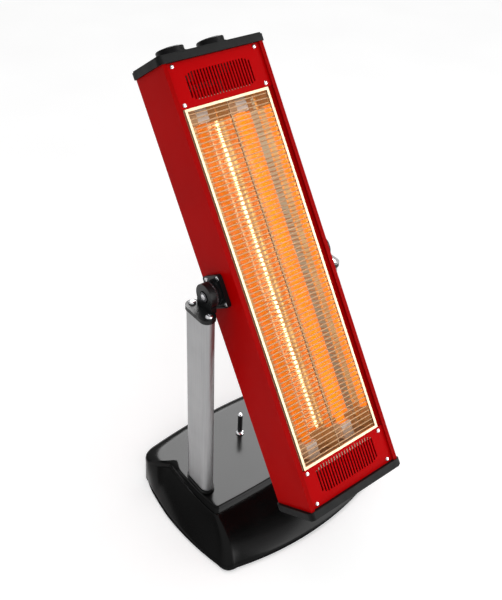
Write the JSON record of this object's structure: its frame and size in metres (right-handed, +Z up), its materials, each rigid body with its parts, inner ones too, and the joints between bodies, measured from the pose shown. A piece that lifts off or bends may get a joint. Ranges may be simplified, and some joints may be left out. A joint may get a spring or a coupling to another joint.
{
  "type": "outdoor heater",
  "caption": "Free-standing infrared patio heater: a slim red head with a wire guard and quartz lamps, tilting between two posts on a weighted black base.",
  "frame": {"origin": "on the floor, under the middle of the object's bounding box, which is the middle of the base", "axes": "+Z up, +X to the object's right-hand post as its front is faced, -Y out of the heater's front"},
  "size_m": [0.33, 0.4146, 0.6949],
  "materials": {
    "red_enamel": "glossy powder coat",
    "red_panel": "glossy powder coat",
    "black_cap": "fine texture",
    "black_knob": "satin",
    "gloss_base": "polished",
    "black_metal": "satin powder coat",
    "anodised": "fine brushed, anodised",
    "guard_wire": "satin",
    "reflector_sheet": "polished",
    "sheet_steel": "galvanised",
    "quartz": "clear",
    "filament": "glowing",
    "ceramic": "glazed",
    "switch_case": "moulded",
    "dark_plastic": "moulded",
    "wire_sleeve": "braided glass sleeve",
    "zinc": "zinc plated",
    "peg_chrome": "polished",
    "tooth_ring": "blackened",
    "plate_steel": "dull",
    "ballast_iron": "rough",
    "foot_rubber": "moulded"
  },
  "bodies": {
    "stand": {"base_shell": "gloss_base", "base_plate": "plate_steel", "ballast": "ballast_iron", "post_left": "anodised", "post_right": "anodised", "post_collars": "black_metal", "yoke_left": "black_metal", "yoke_right": "black_metal", "yoke_screws": "zinc", "post_foot_screws": "zinc", "base_screws": "zinc", "rubber_feet": "foot_rubber", "stop_peg": "peg_chrome", "stop_peg_nut": "zinc"},
    "head": {"casing": "red_enamel", "top_cap": "black_cap", "bottom_cap": "black_cap", "cap_screws": "zinc", "top_vent_panel": "red_panel", "bottom_vent_panel": "red_panel", "panel_screws": "zinc", "guard_frame": "guard_wire", "guard_wires": "guard_wire", "guard_stay": "guard_wire", "reflector": "reflector_sheet", "heat_shield": "sheet_steel", "quartz_tubes": "quartz", "heating_coils": "filament", "lamp_holders": "ceramic", "upper_baffle": "sheet_steel", "lower_baffle": "sheet_steel", "terminal_block": "ceramic", "wiring_loom": "wire_sleeve", "cable_gland": "dark_plastic", "gland_nut": "dark_plastic", "tilt_cutout": "dark_plastic", "power_switch": "switch_case", "thermostat": "switch_case", "switch_nuts": "zinc", "pivot_plate_left": "black_metal", "pivot_plate_right": "black_metal", "plate_screws": "zinc", "pivot_bolts": "zinc", "pivot_nuts": "tooth_ring", "ratchet_rings": "tooth_ring"},
    "power_control": {"power_shaft": "zinc", "power_knob": "black_knob"},
    "thermostat_control": {"thermostat_shaft": "zinc", "thermostat_knob": "black_knob"}
  },
  "joints": [
    {"name": "head_tilt", "type": "hinge", "parent": "stand", "child": "head", "pos_m": [0, 0.0105, 0.41], "axis": [1, 0, 0], "range_deg": [-16.7, 33.3]},
    {"name": "power_turn", "type": "hinge", "parent": "head", "child": "power_control", "pos_m": [-0.033, 0.18404, 0.6669], "axis": [0, 0.549, 0.8358], "range_deg": [-180, 0]},
    {"name": "thermostat_turn", "type": "hinge", "parent": "head", "child": "thermostat_control", "pos_m": [0.033, 0.18404, 0.6669], "axis": [0, 0.549, 0.8358], "range_deg": [-270, 0]}
  ]
}
